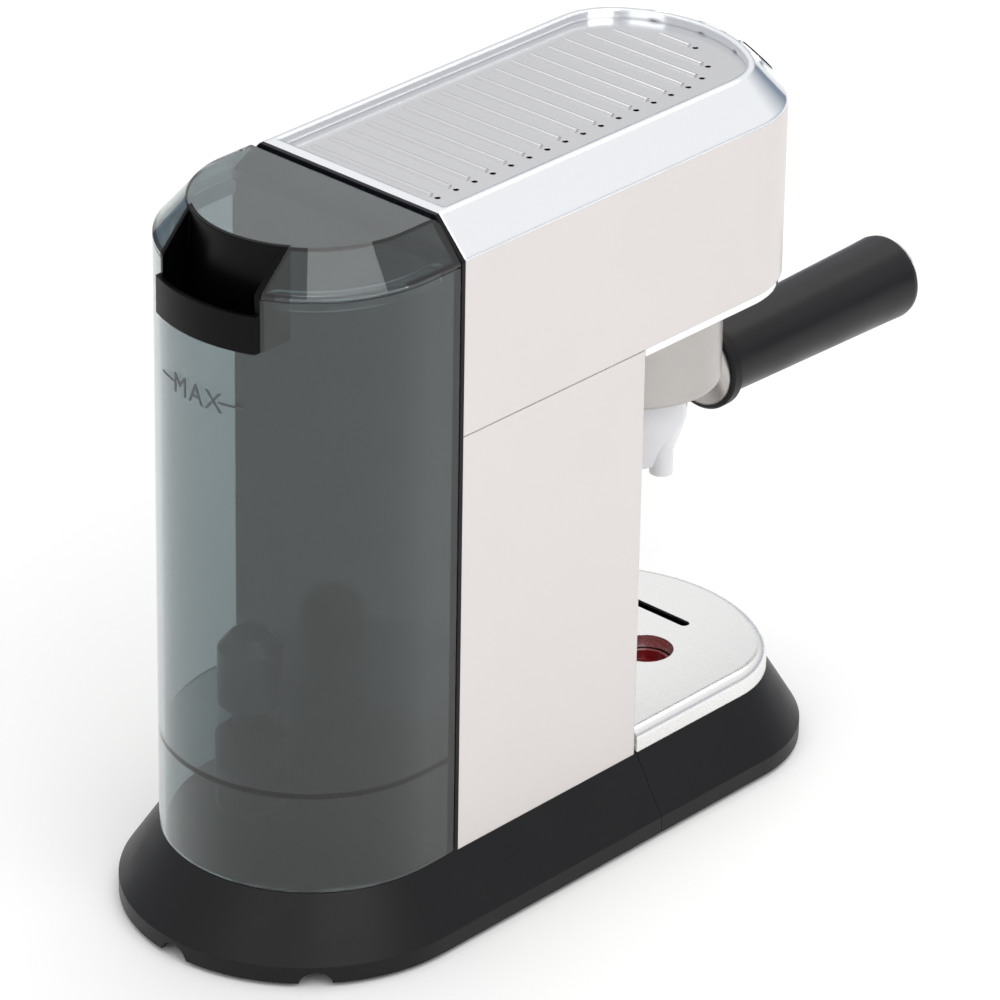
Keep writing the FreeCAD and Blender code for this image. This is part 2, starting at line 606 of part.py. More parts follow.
def make_tank_lid():
    gap = s.clearance
    low, base, top, wall = s.chamfer_bottom, s.tank_top + s.clearance, s.total_height, s.lid_wall
    lid = prism(0, base, low).fuse(taper(plan(0, low), plan(s.lid_inset, top)))
    lid = cut_y(lid, s.tank_front, BIG)
    slope = s.lid_inset / (top - low)
    room = taper(plan(wall + gap, low), plan(wall + gap + slope * (top - wall - low), top - wall))
    room = room.fuse(prism(wall + gap, base, low))
    lid = lid.cut(cut_y(room, s.tank_front + wall, BIG))
    inset = s.tank_wall + s.lip_gap
    lip = prism(inset, base - s.lid_lip, base).cut(prism(inset + s.lip_wall, 0, BIG))
    front = s.tank_front + inset
    lip = cut_y(lip, front, BIG)
    lid = lid.fuse(lip)
    bridge = prism(wall - 0.5, base, base + 1.5).cut(prism(inset + s.lip_wall, 0, BIG))
    bridge = bridge.fuse(cut_y(prism(wall, base, base + 1.5), 0, front + s.lip_wall))
    lid = lid.fuse(cut_y(bridge, s.tank_front + wall - 0.5, BIG))
    axis_y, axis_z = s.tank_front + s.hinge_radius, top - s.hinge_radius
    corner = box(-BIG, BIG, s.tank_front - 1, axis_y, axis_z, top + 1)
    knuckle = side_cylinder(s.hinge_radius, -BIG, BIG, axis_y, axis_z)
    lid = lid.cut(corner.cut(knuckle))
    swing = side_cylinder(axis_z - base, -BIG, BIG, axis_y, axis_z)
    heel = box(-BIG, BIG, s.tank_front - 1, axis_y, base - 1, axis_z)
    lid = lid.cut(heel.cut(swing))
    lid = lid.cut(pocket_block(s.grip_half + s.pocket_wall + gap, 0, s.pocket_inner - gap))
    feature("tank_lid", lid)


def make_tank_fittings():
    floor_low = "tank_floor - tank_wall"
    bore = "valve_bore"
    turned("tank_valve", [
        (bore, "valve_bottom"), ("valve_radius - 1", "valve_bottom"),
        ("valve_radius", "valve_bottom + 1"), ("valve_radius", "tank_floor"),
        ("valve_radius + 3", "tank_floor"), ("valve_radius + 3", "tank_floor + 2"),
        (bore, "tank_floor + 2")], "valve_x", "valve_y")
    turned("valve_plunger", rod("valve_bore - plunger_fit", "valve_bottom + 1", floor_low),
           "valve_x", "valve_y")
    top = "tank_floor + 2 + softener_height"
    turned("softener_filter", [
        ("0", "tank_floor + 2"), ("softener_radius", "tank_floor + 2"),
        ("softener_radius", top + " - 6"), ("softener_radius - 5", top), ("0", top)],
        "valve_x", "valve_y")
    pin = "valve_radius / 2.5"
    turned("tank_socket", [
        ("0", "deck_top"), ("socket_radius", "deck_top"), ("socket_radius", "socket_top - 4"),
        ("valve_radius + 2.5", "socket_top"), ("valve_radius + clearance", "socket_top"),
        ("valve_radius + clearance", "valve_bottom - 3"), (pin, "valve_bottom - 3"),
        (pin, "valve_bottom + 1 - clearance"), ("0", "valve_bottom + 1 - clearance")],
        "valve_x", "valve_y")


# ---------------------------------------------------------------- drip tray
def make_drip_tray():
    wall = s.tray_wall
    tray = cut_y(base_block(0), -BIG, s.column_front)
    water = cut_y(base_block(wall), -BIG, s.column_front - wall)
    tray = tray.cut(water.common(box(-BIG, BIG, -BIG, BIG, s.tray_floor, BIG)))
    under = prism(wall, 0, s.plate_room, s.base_half, s.base_rear_centre)
    tray = tray.cut(under)
    tray = tray.cut(box(-s.base_half + wall, s.base_half - wall, -100, 0, 0, s.plate_room))
    tray = tray.fuse(cylinder(2, s.float_x, s.float_y, s.tray_floor - 1, s.tray_floor + 8))
    feature("drip_tray", tray)


def top_rounded(shape, z, radius):
    """Rounds the outline's top edges, except the straight rear one."""
    rear = s.column_front - 2
    edges = [e for e in shape.Edges
             if abs(e.BoundBox.ZMin - z) < 0.01 and abs(e.BoundBox.ZMax - z) < 0.01
             and not (e.BoundBox.YMin > rear)]
    return shape.makeFillet(radius, edges)


def slot_block(x0, x1, y, width):
    r = width / 2
    block = box(x0 + r, x1 - r, y - r, y + r, s.deck_top, BIG)
    for x in (x0 + r, x1 - r):
        block = block.fuse(cylinder(r, x, y, s.deck_top, BIG))
    return block


def make_grille():
    rear = s.column_front - s.clearance
    wall = s.grille_wall
    outer = cut_y(prism(0.1, s.deck_top, s.grille_top), -BIG, rear)
    outer = top_rounded(outer, s.grille_top, s.grille_edge)
    inner = cut_y(prism(0.1 + wall, s.deck_top - 1, s.grille_top - wall), -BIG, rear - wall)
    inner = top_rounded(inner, s.grille_top - wall, s.grille_edge - wall)
    grille = outer.cut(inner)
    rows = (s.slot_front, 2 * s.float_y - s.slot_front)
    for y in rows:
        grille = grille.cut(slot_block(-s.slot_half, s.slot_half, y, s.slot_width))
    grille = grille.cut(slot_block(4, 4 + s.slot_half, s.float_y, s.slot_width))
    hole = cylinder(s.float_hole, s.float_x, s.float_y, s.deck_top, BIG)
    collar = cylinder(s.float_hole + 1, s.float_x, s.float_y, s.grille_top - 6,
                      s.grille_top - wall)
    feature("grille_plate", grille.fuse(collar).cut(hole))


def make_float():
    top = "float_top"
    turned("tray_float", [
        ("2.3", "tray_floor"), ("float_radius - 2", "tray_floor"),
        ("float_radius - 2", "tray_floor + 10"), ("float_radius", "tray_floor + 12"),
        ("float_radius", top), ("float_radius - 1.5", top), ("float_radius - 1.5", top + " - 4"),
        ("0", top + " - 4"), ("0", "tray_floor + 16"), ("2.3", "tray_floor + 16")],
        "float_x", "float_y")


# ---------------------------------------------------------------- steam side and switch
def make_steam_side():
    fit = s.shaft_fit
    x1 = s.body_half - s.sheet_wall
    block = box(34, 52, s.steam_y - 12, s.steam_y + 12, s.seam_height + s.shelf_thick,
                s.steam_z + 10)
    block = block.cut(side_cylinder(s.spindle_radius + fit, 40, x1, s.steam_y, s.steam_z))
    feature("steam_valve", block)
    out = Rotation(V(0, 1, 0), 90)
    turned("steam_spindle", rod("spindle_radius", "42", "body_half + clearance + 1"),
           "0", "steam_y", "steam_z", out)
    near = "body_half + clearance + 1"
    far = near + " + knob_length"
    turned("steam_knob", [
        ("0", near), ("knob_radius + 1", near), ("knob_radius + 1", near + " + 1.5"),
        ("knob_radius", near + " + 3"), ("knob_radius - 1", far + " - 1"),
        ("knob_radius - 2", far), ("0", far)], "0", "steam_y", "steam_z", out)
    floor_low = "seam_height - floor_height"
    turned("wand_socket", [
        ("1.6", "ball_z + ball_radius + clearance"),
        ("ball_radius + 2", "ball_z + ball_radius + clearance"), ("ball_radius + 3.5", floor_low),
        ("wand_radius + 1", floor_low), ("wand_radius + 1", "seam_height + shelf_thick + 4"),
        ("1.6", "seam_height + shelf_thick + 4")], "wand_x", "wand_y")


def make_wand():
    x, y = s.wand_x, s.wand_y
    ball = Part.makeSphere(s.ball_radius, V(x, y, s.ball_z))
    low = s.ball_z - s.wand_length
    tube = cylinder(s.wand_radius, x, y, low, s.ball_z)
    feature("steam_wand", ball.fuse(tube))
    bottom = "ball_z - wand_length - 1"
    top = bottom + " + sleeve_length"
    inner = "wand_radius + shaft_fit"
    turned("frother_sleeve", [
        (inner, bottom), ("sleeve_radius - 1.5", bottom), ("sleeve_radius", bottom + " + 6"),
        ("sleeve_radius", top + " - 3"), ("sleeve_radius - 2", top), (inner, top)],
        "wand_x", "wand_y")


def make_switch():
    h, y, z = s.body_half, s.switch_y, s.switch_z
    hy, hz = s.switch_half_y, s.switch_half_z
    bezel = box(h - 12, h, y - hy, y + hy, z - hz, z + hz)
    lip = box(h, h + 1.5, y - hy - 1.5, y + hy + 1.5, z - hz - 1.5, z + hz + 1.5)
    room = box(h - 10, h + 2, y - hy + 1.5, y + hy - 1.5, z - hz + 1.5, z + hz - 1.5)
    feature("switch_bezel", bezel.fuse(lip).cut(room))
    points = [V(0, 0, -hz + 2.2), V(-3, 0, -hz + 2.6), V(-3, 0, hz - 2.6), V(0, 0, hz - 2.2),
              V(1.2, 0, 0)]
    wire = Part.makePolygon(points + [points[0]])
    rocker = Part.Face(wire).extrude(V(0, 2 * hy - 3.6, 0))
    rocker.translate(V(h + 0.6, y - hy + 1.8, z))
    feature("rocker_switch", rocker)


# ---------------------------------------------------------------- water and pump
def make_pump():
    fit = "piston_radius + shaft_fit"
    low, top = "pump_bottom", "pump_bottom + pump_height"
    turned("pump_body", [
        (fit, low + " + 4"), ("0", low + " + 4"), ("0", low), ("pump_radius", low),
        ("pump_radius", top), ("0", top), ("0", top + " - 8"), (fit, top + " - 8")],
        "valve_x", "pump_y")
    turned("pump_piston", rod("piston_radius", "coil_bottom", "coil_bottom + 30"),
           "valve_x", "pump_y")
    half, z0 = s.coil_half, s.coil_bottom
    coil = box(s.valve_x - half, s.valve_x + half, s.pump_y - half, s.pump_y + half, z0,
               z0 + s.coil_height)
    coil = coil.cut(cylinder(s.pump_radius, s.valve_x, s.pump_y, z0, z0 + s.coil_height))
    feature("pump_coil", coil)
    length = "valve_y - socket_radius - pump_y - pump_radius"
    turned("inlet_hose", pipe_points("hose_radius", "hose_radius - 1.5", "0", length),
           "valve_x", "pump_y + pump_radius", "hose_z", Rotation(V(1, 0, 0), -90))


def make_outlet_pipe():
    x, y, bend = s.valve_x, s.pump_y, s.pipe_bend
    z0, z1 = s.pump_bottom + s.pump_height, s.pipe_height
    radius = s.collar_outer - 2
    heater = s.group_y + math.sqrt(radius ** 2 - (x - s.pipe_radius) ** 2)
    diagonal = bend * (1 - math.sqrt(0.5))
    corner = Part.Arc(V(x, y, z1 - bend), V(x, y - diagonal, z1 - diagonal), V(x, y - bend, z1))
    path = Part.Wire([Part.LineSegment(V(x, y, z0), V(x, y, z1 - bend)).toShape(),
                      corner.toShape(),
                      Part.LineSegment(V(x, y - bend, z1), V(x, heater, z1)).toShape()])
    ring = Part.Wire(Part.makeCircle(s.pipe_radius, V(x, y, z0), V(0, 0, 1)))
    feature("outlet_pipe", path.makePipeShell([ring], True, True))


make_base()
make_cord_gland()
make_rear_wall()
make_column_panel()
make_head_wrap()
make_top_frame()
make_cup_plate()
make_head_floor()
make_chassis()
make_buttons()
make_control_board()
make_group()
make_portafilter()
make_tank_shell()
make_tank_handle()
make_tank_lid()
make_tank_fittings()
make_drip_tray()
make_grille()
make_float()
make_steam_side()
make_wand()
make_switch()
make_pump()
make_outlet_pipe()
doc.recompute()

for obj in doc.Objects:
    if "Invalid" in obj.State or "Error" in obj.State:
        raise SystemExit("failed object: " + obj.Label)
os.makedirs("parts", exist_ok=True)
for obj in PARTS:
    shape = obj.Shape
    if shape.isNull() or not shape.isValid():
        raise SystemExit("bad shape: " + obj.Label)
    shape.exportStep("parts/" + obj.Label + ".step")
    print("%-18s solids %d volume %.0f" % (obj.Label, len(shape.Solids), shape.Volume))
print(len(PARTS), "sub-parts")
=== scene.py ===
# %% [markdown]
# # A pump coffee machine, dressed for a studio picture
#
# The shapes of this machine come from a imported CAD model: every node in it is one real piece, already
# in its place, in metres. This script gives each piece its material, adds the small surface details
# that CAD leaves out, and sets up a pale studio with a camera. It is split into cells, and each cell
# starts with a note on what it does and why.
#
# +Z is up, the portafilter's handle points along -Y, and the water tank stands at +Y.

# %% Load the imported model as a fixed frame
import json
import math

import bmesh
import bpy
from mathutils import Matrix, Vector


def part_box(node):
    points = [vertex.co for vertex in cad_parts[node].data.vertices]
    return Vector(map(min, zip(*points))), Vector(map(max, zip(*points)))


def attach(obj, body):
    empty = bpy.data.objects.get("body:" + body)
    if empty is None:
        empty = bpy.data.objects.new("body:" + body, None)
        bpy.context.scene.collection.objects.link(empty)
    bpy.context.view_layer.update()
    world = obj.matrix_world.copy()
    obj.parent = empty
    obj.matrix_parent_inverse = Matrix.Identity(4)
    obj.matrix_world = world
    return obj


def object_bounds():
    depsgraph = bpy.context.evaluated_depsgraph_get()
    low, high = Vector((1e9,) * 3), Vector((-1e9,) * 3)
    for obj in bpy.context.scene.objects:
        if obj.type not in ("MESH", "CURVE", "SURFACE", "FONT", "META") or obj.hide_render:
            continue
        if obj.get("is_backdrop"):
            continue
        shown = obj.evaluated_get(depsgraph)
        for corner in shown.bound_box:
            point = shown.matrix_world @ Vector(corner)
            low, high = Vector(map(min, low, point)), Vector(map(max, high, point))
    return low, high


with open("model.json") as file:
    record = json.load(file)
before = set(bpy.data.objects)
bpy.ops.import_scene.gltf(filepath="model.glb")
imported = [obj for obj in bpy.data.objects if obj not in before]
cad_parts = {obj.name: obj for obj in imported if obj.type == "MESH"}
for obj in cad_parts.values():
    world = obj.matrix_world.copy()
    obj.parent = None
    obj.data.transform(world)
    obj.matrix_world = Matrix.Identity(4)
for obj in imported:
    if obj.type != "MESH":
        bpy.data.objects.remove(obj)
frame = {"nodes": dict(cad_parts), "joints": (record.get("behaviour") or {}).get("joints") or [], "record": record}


def write_size():
    """Returns the whole object's lowest and highest corners."""
    low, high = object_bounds()
    return low, high


low, high = write_size()
nodes = frame["nodes"]
print("nodes", len(nodes), "size", [round(v, 4) for v in high - low])

# %% [markdown]
# ## Colours and small node helpers
#
# People pick colours as sRGB hex values, but Blender's shader sockets want linear light. One function
# converts them, so every colour below can be read and changed like any web colour. `add` makes one
# shader node and sets its sockets by name. `principled` starts a material: a Principled BSDF joined to
# the output, with its plain values set straight on the sockets.


# %% Helpers for materials
def colour(text):
    """Linear RGBA from an sRGB hex colour."""
    values = [int(text[i:i + 2], 16) / 255 for i in (1, 3, 5)]
    linear = [v / 12.92 if v <= 0.04045 else ((v + 0.055) / 1.055) ** 2.4 for v in values]
    return (*linear, 1)


def add(tree, kind, **sockets):
    """Adds a shader node. Names match sockets, with _ for a space, or settings of the node."""
    node = tree.nodes.new("ShaderNode" + kind)
    for name, value in sockets.items():
        label = name.replace("_", " ")
        if label in node.inputs:
            node.inputs[label].default_value = value
        else:
            setattr(node, name, value)
    return node


def principled(name, base, roughness, metallic=0.0, **more):
    """A new material and its tree, shader and object coordinates."""
    made = bpy.data.materials.new(name)
    made.use_nodes = True
    tree = made.node_tree
    tree.nodes.clear()
    shader = add(tree, "BsdfPrincipled", Base_Color=colour(base), Roughness=roughness,
                 Metallic=metallic)
    for label, value in more.items():
        shader.inputs[label.replace("_", " ")].default_value = value
    output = add(tree, "OutputMaterial")
    tree.links.new(shader.outputs["BSDF"], output.inputs["Surface"])
    made.diffuse_color = colour(base)
    return made, tree, shader


def pattern(tree, grain_mm, stretch=(1, 1, 1), detail=3.0):
    """Noise whose grains are grain_mm across, pulled out along an axis by stretch."""
    place = add(tree, "TexCoord")
    scale = add(tree, "Mapping")
    scale.inputs["Scale"].default_value = [1000 / grain_mm / k for k in stretch]
    noise = add(tree, "TexNoise", Scale=1.0, Detail=detail)
    tree.links.new(place.outputs["Object"], scale.inputs["Vector"])
    tree.links.new(scale.outputs["Vector"], noise.inputs["Vector"])
    return noise


def spread(tree, source, low_value, high_value):
    """Turns a noise into values between two limits."""
    ramp = add(tree, "MapRange", To_Min=low_value, To_Max=high_value, From_Min=0.3, From_Max=0.7)
    tree.links.new(source.outputs["Fac"], ramp.inputs["Value"])
    return ramp


def tint(tree, source, first, second, socket):
    """Colours a surface between two close shades by a noise."""
    mix = add(tree, "Mix", data_type="RGBA")
    mix.inputs[6].default_value = colour(first)
    mix.inputs[7].default_value = colour(second)
    tree.links.new(source.outputs["Fac"], mix.inputs[0])
    tree.links.new(mix.outputs[2], socket)


def relief(tree, shader, source, height_mm, edge_mm=0.0):
    """Bumps a surface by a noise, over edges rounded by edge_mm."""
    bump = add(tree, "Bump", Strength=1.0, Distance=height_mm / 1000)
    tree.links.new(source.outputs["Fac"], bump.inputs["Height"])
    if edge_mm:
        edge = add(tree, "Bevel", samples=4, Radius=edge_mm / 1000)
        tree.links.new(edge.outputs["Normal"], bump.inputs["Normal"])
    tree.links.new(bump.outputs["Normal"], shader.inputs["Normal"])


# %% [markdown]
# ## Painted panels and mouldings
#
# Paint on sheet steel is never a mirror and never dead flat: it has a fine waviness called orange
# peel. Here a noise of a few millimetres moves the normal by hundredths of a millimetre. Moulded black
# plastic (ABS) gets a much finer grain, as a spark-eroded mould leaves it. The real grain is about
# 0.05 mm, too fine to show, so it is drawn at 0.3 mm or more. Its reflection is turned down a little,
# because a fine grain scatters the white room and would make the black look grey. The bevel node
# softens edges that CAD left sharp, which is what catches the thin lines of light along every rim.


# %% Panel enamel, black mouldings and rubber
def enamel():
    """Baked enamel on pressed steel: a soft, wide highlight and no grain."""
    made, tree, shader = principled("panel_enamel", "#d6d0cd", 0.36, Coat_Weight=0.12,
                                    Coat_Roughness=0.3)
    peel = pattern(tree, 3.0)
    tint(tree, pattern(tree, 60), "#d8d2cf", "#d4cdca", shader.inputs["Base Color"])
    relief(tree, shader, peel, 0.012, 0.8)
    return made


def black_moulding(name="black_plastic", base="#0a090c", roughness=0.42, grain_mm=0.35,
                   height_mm=0.008, shine=0.27):
    """Moulded ABS: deep black with a broad, dull highlight."""
    made, tree, shader = principled(name, base, roughness, Specular_IOR_Level=shine)
    grain = pattern(tree, grain_mm)
    rough = spread(tree, pattern(tree, 25), roughness - 0.05, roughness + 0.06)
    tree.links.new(rough.outputs["Result"], shader.inputs["Roughness"])
    relief(tree, shader, grain, height_mm, 0.7)
    return made


def rubber():
    """Moulded rubber of the feet and seals: nearly no highlight at all."""
    made, tree, shader = principled("rubber", "#1a1a1b", 0.8)
    relief(tree, shader, pattern(tree, 0.8), 0.03, 0.4)
    return made


# %% [markdown]
# ## Metals
#
# Chrome plate is nearly a mirror, so almost all of its look is what it reflects. A large, faint
# variation in roughness gives it the slight haze of a touched surface. Its edges get a wider bevel
# than the rest, since plated castings are always rounded. Satin steel uses the same trick with noise
# pulled out into long thin grains along one axis, 0.5 mm apart so that they can be seen.


# %% Chrome, satin steel, castings, brass
def chrome():
    """Bright chrome plate: a mirror with a slight haze."""
    made, tree, shader = principled("chrome_trim", "#f3f5f8", 0.05, metallic=1.0)
    rough = spread(tree, pattern(tree, 18), 0.035, 0.085)
    tree.links.new(rough.outputs["Result"], shader.inputs["Roughness"])
    relief(tree, shader, pattern(tree, 40, detail=1.0), 0.01, 1.6)
    return made


def satin_steel(name="satin_steel", base="#d2d2d2", along=(40, 1, 1), roughness=0.3):
    """Finely brushed stainless sheet: a soft reflection, drawn out across the grain."""
    made, tree, shader = principled(name, base, roughness, metallic=1.0)
    lines = pattern(tree, 0.5, stretch=along, detail=4.0)
    rough = spread(tree, lines, roughness - 0.03, roughness + 0.04)
    tree.links.new(rough.outputs["Result"], shader.inputs["Roughness"])
    relief(tree, shader, lines, 0.001, 0.4)
    return made


def casting():
    """Bead-blasted cast aluminium: pale, even and dull."""
    made, tree, shader = principled("cast_aluminium", "#b7b3b0", 0.34, metallic=0.85)
    tint(tree, pattern(tree, 12), "#bbb7b4", "#b2aeab", shader.inputs["Base Color"])
    relief(tree, shader, pattern(tree, 0.7), 0.01, 0.8)
    return made


def brass():
    """Turned brass of the fittings, with fine tool rings."""
    made, tree, shader = principled("brass", "#b98f4d", 0.3, metallic=1.0)
    relief(tree, shader, pattern(tree, 0.4, stretch=(1, 1, 30)), 0.01)
    return made


# %% [markdown]
# ## Clear and coloured plastics
#
# The tank is smoked transparent plastic. Light that passes through is tinted by the base colour, and
# the amount is set so that two walls in a row give the grey-green of the real tank. A very low
# roughness with a touch of waviness keeps reflections lively, as on a moulded wall.


# %% Smoked tank, pale gloss, red float, inner mouldings
def smoked():
    """Smoked clear plastic (SAN) from a polished mould: sharp reflections, grey-green light."""
    made, tree, shader = principled("smoked_clear", "#a9b4b6", 0.03, IOR=1.5,
                                    Transmission_Weight=1.0, Coat_Weight=0.2,
                                    Coat_Roughness=0.03)
    relief(tree, shader, pattern(tree, 30, detail=1.0), 0.015)
    return made


def gloss(name, base, roughness=0.15, coat=0.3):
    """Polished or printed plastic in a plain colour, faintly wavy."""
    made, tree, shader = principled(name, base, roughness, Coat_Weight=coat, Coat_Roughness=0.05)
    relief(tree, shader, pattern(tree, 8), 0.01, 0.5)
    return made


def board():
    """Circuit board: green solder mask over copper tracks."""
    made, tree, shader = principled("board_green", "#1d4a2c", 0.4)
    tint(tree, pattern(tree, 2), "#1d4a2c", "#2a5f38", shader.inputs["Base Color"])
    relief(tree, shader, pattern(tree, 1.5), 0.05)
    return made


MATERIALS = {
    "panel_enamel": enamel(),
    "chrome_trim": chrome(),
    "satin_steel": satin_steel(),
    "black_plastic": black_moulding(),
    "smoked_clear": smoked(),
    "rubber": rubber(),
    "inner_plastic": gloss("inner_plastic", "#b9bab6", 0.4, 0.0),
    "cast_aluminium": casting(),
    "brass": brass(),
    "board_green": board(),
    "pale_gloss": gloss("pale_gloss", "#dcdcdf"),
    "red_plastic": gloss("red_plastic", "#7a0d12"),
    "frame_steel": black_moulding("frame_steel", "#3b3c3e", 0.5, 0.6),
    "screw_steel": satin_steel("screw_steel", "#b5b6b8", (1, 1, 1), 0.35),
}
# Pieces whose finish differs a little from their slot's, such as the black wall behind the clear tank.
SPECIAL = {
    "tank_handle": black_moulding("handle_black", "#040405", 0.3, 0.3, 0.003, 0.1),
    "rear_wall": black_moulding("wall_black", "#121116", 0.35, 3.0, 0.002, 0.15),
    "softener_filter": gloss("filter_smoke", "#3a4043", 0.3, 0.0),
    "tank_valve": gloss("valve_smoke", "#303538", 0.3, 0.0),
    "tank_socket": black_moulding("socket_black", "#1c1c1e", 0.5, 0.4),
    "handle_grip": black_moulding("grip_black", "#141316", 0.34, 0.3, 0.006),
    "cup_plate": satin_steel("plate_steel", "#cfcfd1", (60, 1, 1), 0.2),
    "grille_plate": satin_steel("grille_steel", "#efeeed", (60, 1, 1), 0.28),
}

# %% [markdown]
# ## Dress the CAD nodes
#
# The record names a material slot for every node. A loop puts the matching material on each, and a
# few pieces that look a little different get one of their own.

# %% Give every node its material
for part in frame["record"]["subparts"]:
    node = nodes[part["node"]]
    chosen = SPECIAL.get(part["node"], MATERIALS[part["material_slot"]])
    node.data.materials.clear()
    node.data.materials.append(chosen)
print("materials in use", len({n.data.materials[0].name for n in nodes.values()}))

# %% [markdown]
# ## Marks moulded on the tank
#
# The tank carries a fill mark: a word between two short lines, standing a fraction of a millimetre
# proud of the rear wall. The word is made flat from a font, then wrapped on the tank's round wall: the
# distance along the line becomes an angle about the tank's axis.


# %% Fill mark
def mesh_piece(name, mesh, body, material):
    """A piece that rides on a body, with its material."""
    piece = bpy.data.objects.new(name, mesh)
    bpy.context.collection.objects.link(piece)
    piece.data.materials.clear()
    piece.data.materials.append(material)
    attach(piece, body)
    return piece


def text_mesh(word, height, depth):
    """Flat raised lettering, centred, from Blender's own font."""
    curve = bpy.data.curves.new("lettering", "FONT")
    curve.body = word
    curve.size = height / 0.7
    curve.extrude = depth / 2
    curve.space_character = 1.15
    curve.align_x = "CENTER"
    holder = bpy.data.objects.new("lettering", curve)
    mesh = bpy.data.meshes.new_from_object(holder)
    bpy.data.objects.remove(holder)
    return mesh


def tank_axis():
    """Centre and radius of the tank's round rear wall."""
    box_low, box_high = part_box("tank_shell")
    radius = (box_high.x - box_low.x) / 2
    return Vector((0, box_high.y - radius, 0)), radius


def wrap_on_tank(bm, start, height):
    """Bends flat work (X along, Y up, Z proud) round the tank's rear wall."""
    centre, radius = tank_axis()
    for vert in bm.verts:
        angle = (start - vert.co.x) / radius
        reach = radius + vert.co.z
        vert.co = Vector((math.sin(angle) * reach, centre.y + math.cos(angle) * reach,
                          height + vert.co.y))


def make_fill_mark():
    """The word and its two lines, raised on the tank's wall."""
    letter, depth, line = 0.0082, 0.0004, 0.0008
    bm = bmesh.new()
    bm.from_mesh(text_mesh("MAX", letter, depth))
    for centre_x in (-0.0175, 0.0172):
        bar = bmesh.ops.create_cube(bm, size=1, matrix=Matrix.LocRotScale(
            Vector((centre_x, letter / 2, 0)), None, Vector((0.0105, line, depth))))
        edges = list({e for v in bar["verts"] for e in v.link_edges})
        bmesh.ops.subdivide_edges(bm, edges=edges, cuts=3)
    wrap_on_tank(bm, 0.0027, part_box("tank_shell")[0].z + 0.2025)
    mesh = bpy.data.meshes.new("fill_mark")
    bm.to_mesh(mesh)
    bm.free()
    ink = black_moulding("mark_grey", "#56595c", 0.4)
    mesh_piece("fill_mark", mesh, "tank", ink)
    print("fill mark", len(mesh.polygons), "faces")


make_fill_mark()

# %% [markdown]
# ## Symbols on the buttons and the knob
#
# Each button shows what it does with a small printed outline: one cup, two cups, steam. An outline is
# a few strokes, each a thin bar between two points on the cap's face. The knob has a pointer line.


# %% Button and knob symbols
def stroke(bm, a, b, width, depth):
    """A thin bar from a to b in the XY plane."""
    a, b = Vector((*a, 0)), Vector((*b, 0))
    along = b - a
    turn = along.to_track_quat("X", "Z")
    bmesh.ops.create_cube(bm, size=1, matrix=Matrix.LocRotScale(
        (a + b) / 2, turn, Vector((along.length + width, width, depth))))


def path(bm, points, width=0.0005, depth=0.0003):
    """A run of strokes through some points."""
    for a, b in zip(points, points[1:]):
        stroke(bm, a, b, width, depth)


def cup(bm, x, y, size):
    """A cup's outline with its handle and saucer line."""
    w = size / 2
    path(bm, [(x - w, y + w), (x - w * 0.7, y - w * 0.7), (x + w * 0.7, y - w * 0.7),
              (x + w, y + w), (x - w, y + w)])
    path(bm, [(x + w, y + w * 0.6), (x + w * 1.5, y + w * 0.5), (x + w * 0.85, y - w * 0.1)])
    path(bm, [(x - w * 1.1, y - w * 1.3), (x + w * 1.1, y - w * 1.3)])


def steam(bm, x, y, size):
    """Three rising wavy lines."""
    for shift in (-0.5, 0, 0.5):
        line = [(x + (shift + 0.12 * math.sin(k * math.pi / 2)) * size, y + (k / 6 - 0.5) * size)
                for k in range(7)]
        path(bm, line)


def face_of(node, direction):
    """Middle of a node's outermost face along a direction."""
    verts = [v.co for v in nodes[node].data.vertices]
    reach = max(v.dot(direction) for v in verts)
    face = [v for v in verts if v.dot(direction) > reach - 0.00005]
    return sum(face, Vector()) / len(face)


def make_button_symbols():
    """One cup, two cups and steam, each laid on its button's face and riding with it."""
    white = gloss("print_white", "#e9ebee", 0.4, 0.0)
    for joint in frame["joints"]:
        if not joint["name"].startswith("button_"):
            continue
        number = int(joint["name"].split("_")[1])
        out = -Vector(joint["axis"]).normalized()
        spot = face_of("button_%d" % number, out)
        across = Vector((0, 0, 1)).cross(out).normalized()
        up = out.cross(across)
        bm = bmesh.new()
        if number == 1:
            cup(bm, 0, 0, 0.0045)
        elif number == 2:
            cup(bm, -0.0035, 0, 0.0036)
            cup(bm, 0.003, 0, 0.0036)
        else:
            steam(bm, 0, 0, 0.006)
        turn = Matrix((across, up, out)).transposed().to_4x4()
        bmesh.ops.transform(bm, matrix=Matrix.Translation(spot) @ turn, verts=bm.verts)
        mesh = bpy.data.meshes.new("button_symbol_%d" % number)
        bm.to_mesh(mesh)
        bm.free()
        mesh_piece(mesh.name, mesh, "button_%d" % number, white)


def make_knob_pointer():
    """A short printed line on the steam knob's face."""
    knob_low, knob_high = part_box("steam_knob")
    centre = (knob_low + knob_high) / 2
    bm = bmesh.new()
    bmesh.ops.create_cube(bm, size=1, matrix=Matrix.LocRotScale(
        Vector((knob_high.x, centre.y, centre.z + 0.006)), None, Vector((0.0005, 0.001, 0.006))))
    bmesh.ops.bevel(bm, geom=bm.edges[:], offset=0.0001, segments=1, profile=0.5, material=-1,
                    affect="EDGES")
    mesh = bpy.data.meshes.new("knob_pointer")
    bm.to_mesh(mesh)
    bm.free()
    white = bpy.data.materials["print_white"]
    mesh_piece("knob_pointer", mesh, "steam_control", white)
    print("knob pointer", len(mesh.polygons), "faces")


make_button_symbols()
make_knob_pointer()

# %% [markdown]
# ## Floor and light
#
# A product picture on white needs light from everywhere. The floor is one large pale plane. The world
# is white overhead and blue-grey near the horizon, so that chrome has something dark to reflect
# beside the white. Three big soft panels shape the highlights: a key over the camera's shoulder, a
# low fill, and one above the far side that draws the bright lines in the chrome. The Standard view
# keeps white paper white and black plastic black, where the default view would soften both.


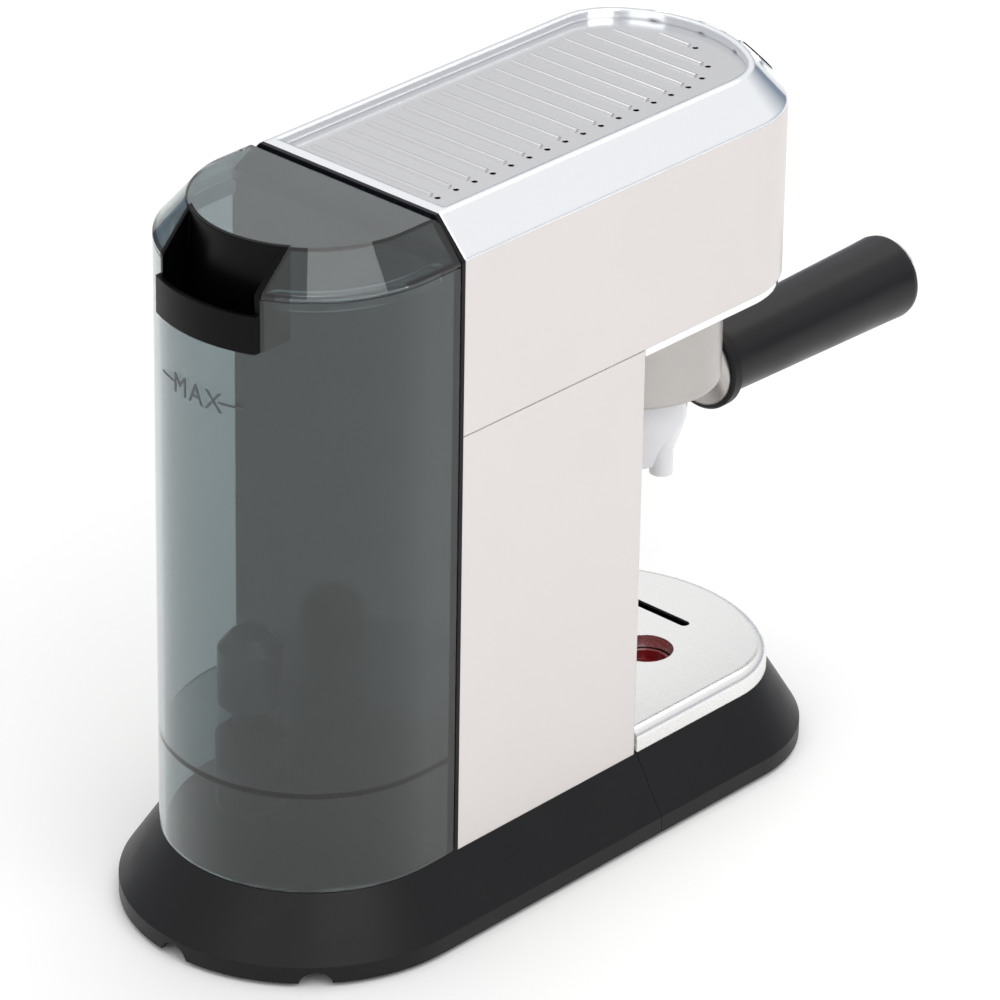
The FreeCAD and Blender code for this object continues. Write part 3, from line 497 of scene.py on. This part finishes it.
# %% Studio
HORIZON, OVERHEAD = "#8d98a8", "#ffffff"
HORIZON_HEIGHT, OVERHEAD_HEIGHT = 0.05, 0.42
FLOOR_HALF_SIDE = 6
PANELS = {  # azimuth, elevation, distance (m), size (m), power (W)
    "key": (250, 45, 1.6, (1.2, 1.2), 9),
    "fill": (190, 20, 2.0, (1.0, 1.4), 4),
    "rim": (20, 60, 1.6, (1.4, 0.8), 6),
}


def make_floor():
    """A sheet of white paper under the machine."""
    bm = bmesh.new()
    bmesh.ops.create_grid(bm, x_segments=1, y_segments=1, size=FLOOR_HALF_SIDE)
    mesh = bpy.data.meshes.new("floor")
    bm.to_mesh(mesh)
    bm.free()
    floor = bpy.data.objects.new("floor", mesh)
    bpy.context.collection.objects.link(floor)
    paper, tree, shader = principled("paper", "#f4f4f3", 0.7)
    tint(tree, pattern(tree, 400), "#f5f5f4", "#f2f2f1", shader.inputs["Base Color"])
    floor.data.materials.append(paper)
    floor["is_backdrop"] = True


def make_world(strength):
    """Even light from all round, coloured by height above the horizon."""
    world = bpy.data.worlds.new("studio")
    world.use_nodes = True
    tree = world.node_tree
    background = tree.nodes["Background"]
    background.inputs["Strength"].default_value = strength
    place = add(tree, "TexCoord")
    split = add(tree, "SeparateXYZ")
    ramp = add(tree, "ValToRGB")
    tree.links.new(place.outputs["Generated"], split.inputs["Vector"])
    tree.links.new(split.outputs["Z"], ramp.inputs["Fac"])
    tree.links.new(ramp.outputs["Color"], background.inputs["Color"])
    stops = ramp.color_ramp.elements
    stops[0].position, stops[0].color = HORIZON_HEIGHT, colour(HORIZON)
    stops[1].position, stops[1].color = OVERHEAD_HEIGHT, colour(OVERHEAD)
    bpy.context.scene.world = world


def direction(azimuth, elevation):
    """Unit vector towards a viewer; azimuth 0 stands at -Y, 90 at +X."""
    a, e = math.radians(azimuth), math.radians(elevation)
    return Vector((math.sin(a) * math.cos(e), -math.cos(a) * math.cos(e), math.sin(e)))


def make_panel(name, azimuth, elevation, distance, size, power):
    """A soft light that faces the machine."""
    light = bpy.data.lights.new(name, "AREA")
    light.shape = "RECTANGLE"
    light.size, light.size_y = size
    light.energy = power
    panel = bpy.data.objects.new(name, light)
    panel.location = direction(azimuth, elevation) * distance + Vector((0, 0, 0.15))
    panel.rotation_mode = "QUATERNION"
    panel.rotation_quaternion = direction(azimuth, elevation).to_track_quat("Z", "Y")
    bpy.context.collection.objects.link(panel)


make_floor()
make_world(0.95)
for name, settings in PANELS.items():
    make_panel(name, *settings)
bpy.context.scene.view_settings.view_transform = "Standard"
print("lights", len(PANELS))

# %% [markdown]
# ## Camera
#
# The view is from behind and above the tank's side, far away through a long lens, so that upright
# lines stay almost parallel. The camera leans by about a degree, as a hand-set studio camera may.


# %% Camera
def make_camera(azimuth, elevation, distance, target, lens, roll):
    """Looks at the target from a direction and distance, leaning by roll degrees."""
    back = direction(azimuth, elevation)
    right = Vector((0, 0, 1)).cross(back).normalized()
    up = back.cross(right)
    r = math.radians(roll)
    right, up = right * math.cos(r) + up * math.sin(r), up * math.cos(r) - right * math.sin(r)
    camera = bpy.data.objects.new("camera", bpy.data.cameras.new("camera"))
    camera.data.sensor_width = 36
    camera.data.lens = lens
    camera.data.clip_start, camera.data.clip_end = 0.1, 30
    camera.location = target + back * distance
    camera.rotation_mode = "QUATERNION"
    camera.rotation_quaternion = Matrix((right, up, back)).transposed().to_quaternion()
    bpy.context.collection.objects.link(camera)
    bpy.context.scene.camera = camera


AIM = Vector((-0.01294, 0.04331, 0.14273))
make_camera(azimuth=222.35, elevation=27.83, distance=2.5001, target=AIM, lens=227.9, roll=0.96)
print("camera", [round(v, 3) for v in bpy.context.scene.camera.location])

# %% Finish
write_size()
